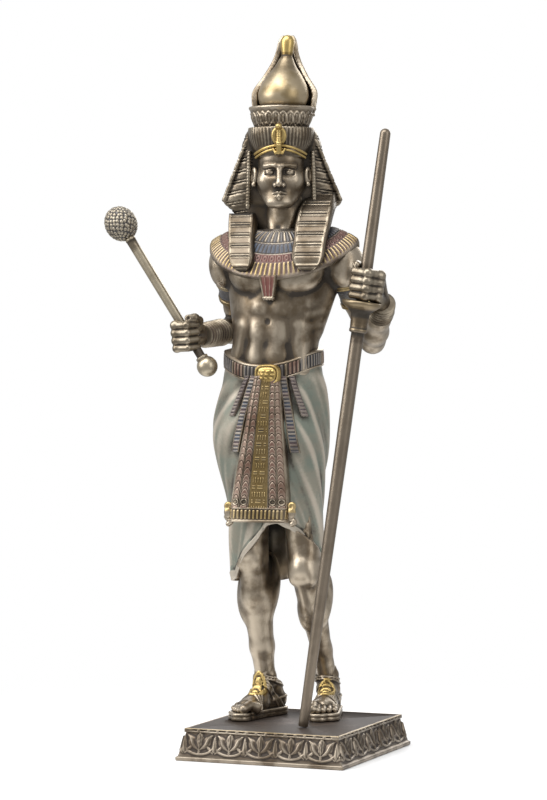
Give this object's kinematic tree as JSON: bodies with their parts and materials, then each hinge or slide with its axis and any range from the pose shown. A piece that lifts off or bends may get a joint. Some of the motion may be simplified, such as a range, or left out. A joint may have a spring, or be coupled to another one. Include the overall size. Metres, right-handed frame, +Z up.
{
  "type": "pharaoh statue",
  "caption": "Standing pharaoh in a double crown and pleated kilt, holding a long staff and a round-headed mace, on a moulded rectangular plinth with a lotus frieze.",
  "frame": {"origin": "middle of the plinth's underside", "axes": "+Z up, the statue's front faces -Y, +X to the left hand that holds the staff"},
  "size_m": [0.1273, 0.082, 0.3067],
  "materials": {
    "patinated_bronze": "cold-cast bronze, rubbed bright on high places, dark in the hollows, with gold, blue and red touches",
    "plinth_bronze": "dark brown polished top, lighter rubbed frieze",
    "staff_bronze": "smooth grey-brown bronze",
    "mace_bronze": "smooth light bronze shaft with a pebbled dark head"
  },
  "bodies": {
    "root": {"pharaoh": "patinated_bronze", "plinth": "plinth_bronze", "staff": "staff_bronze", "mace": "mace_bronze"}
  },
  "joints": []
}
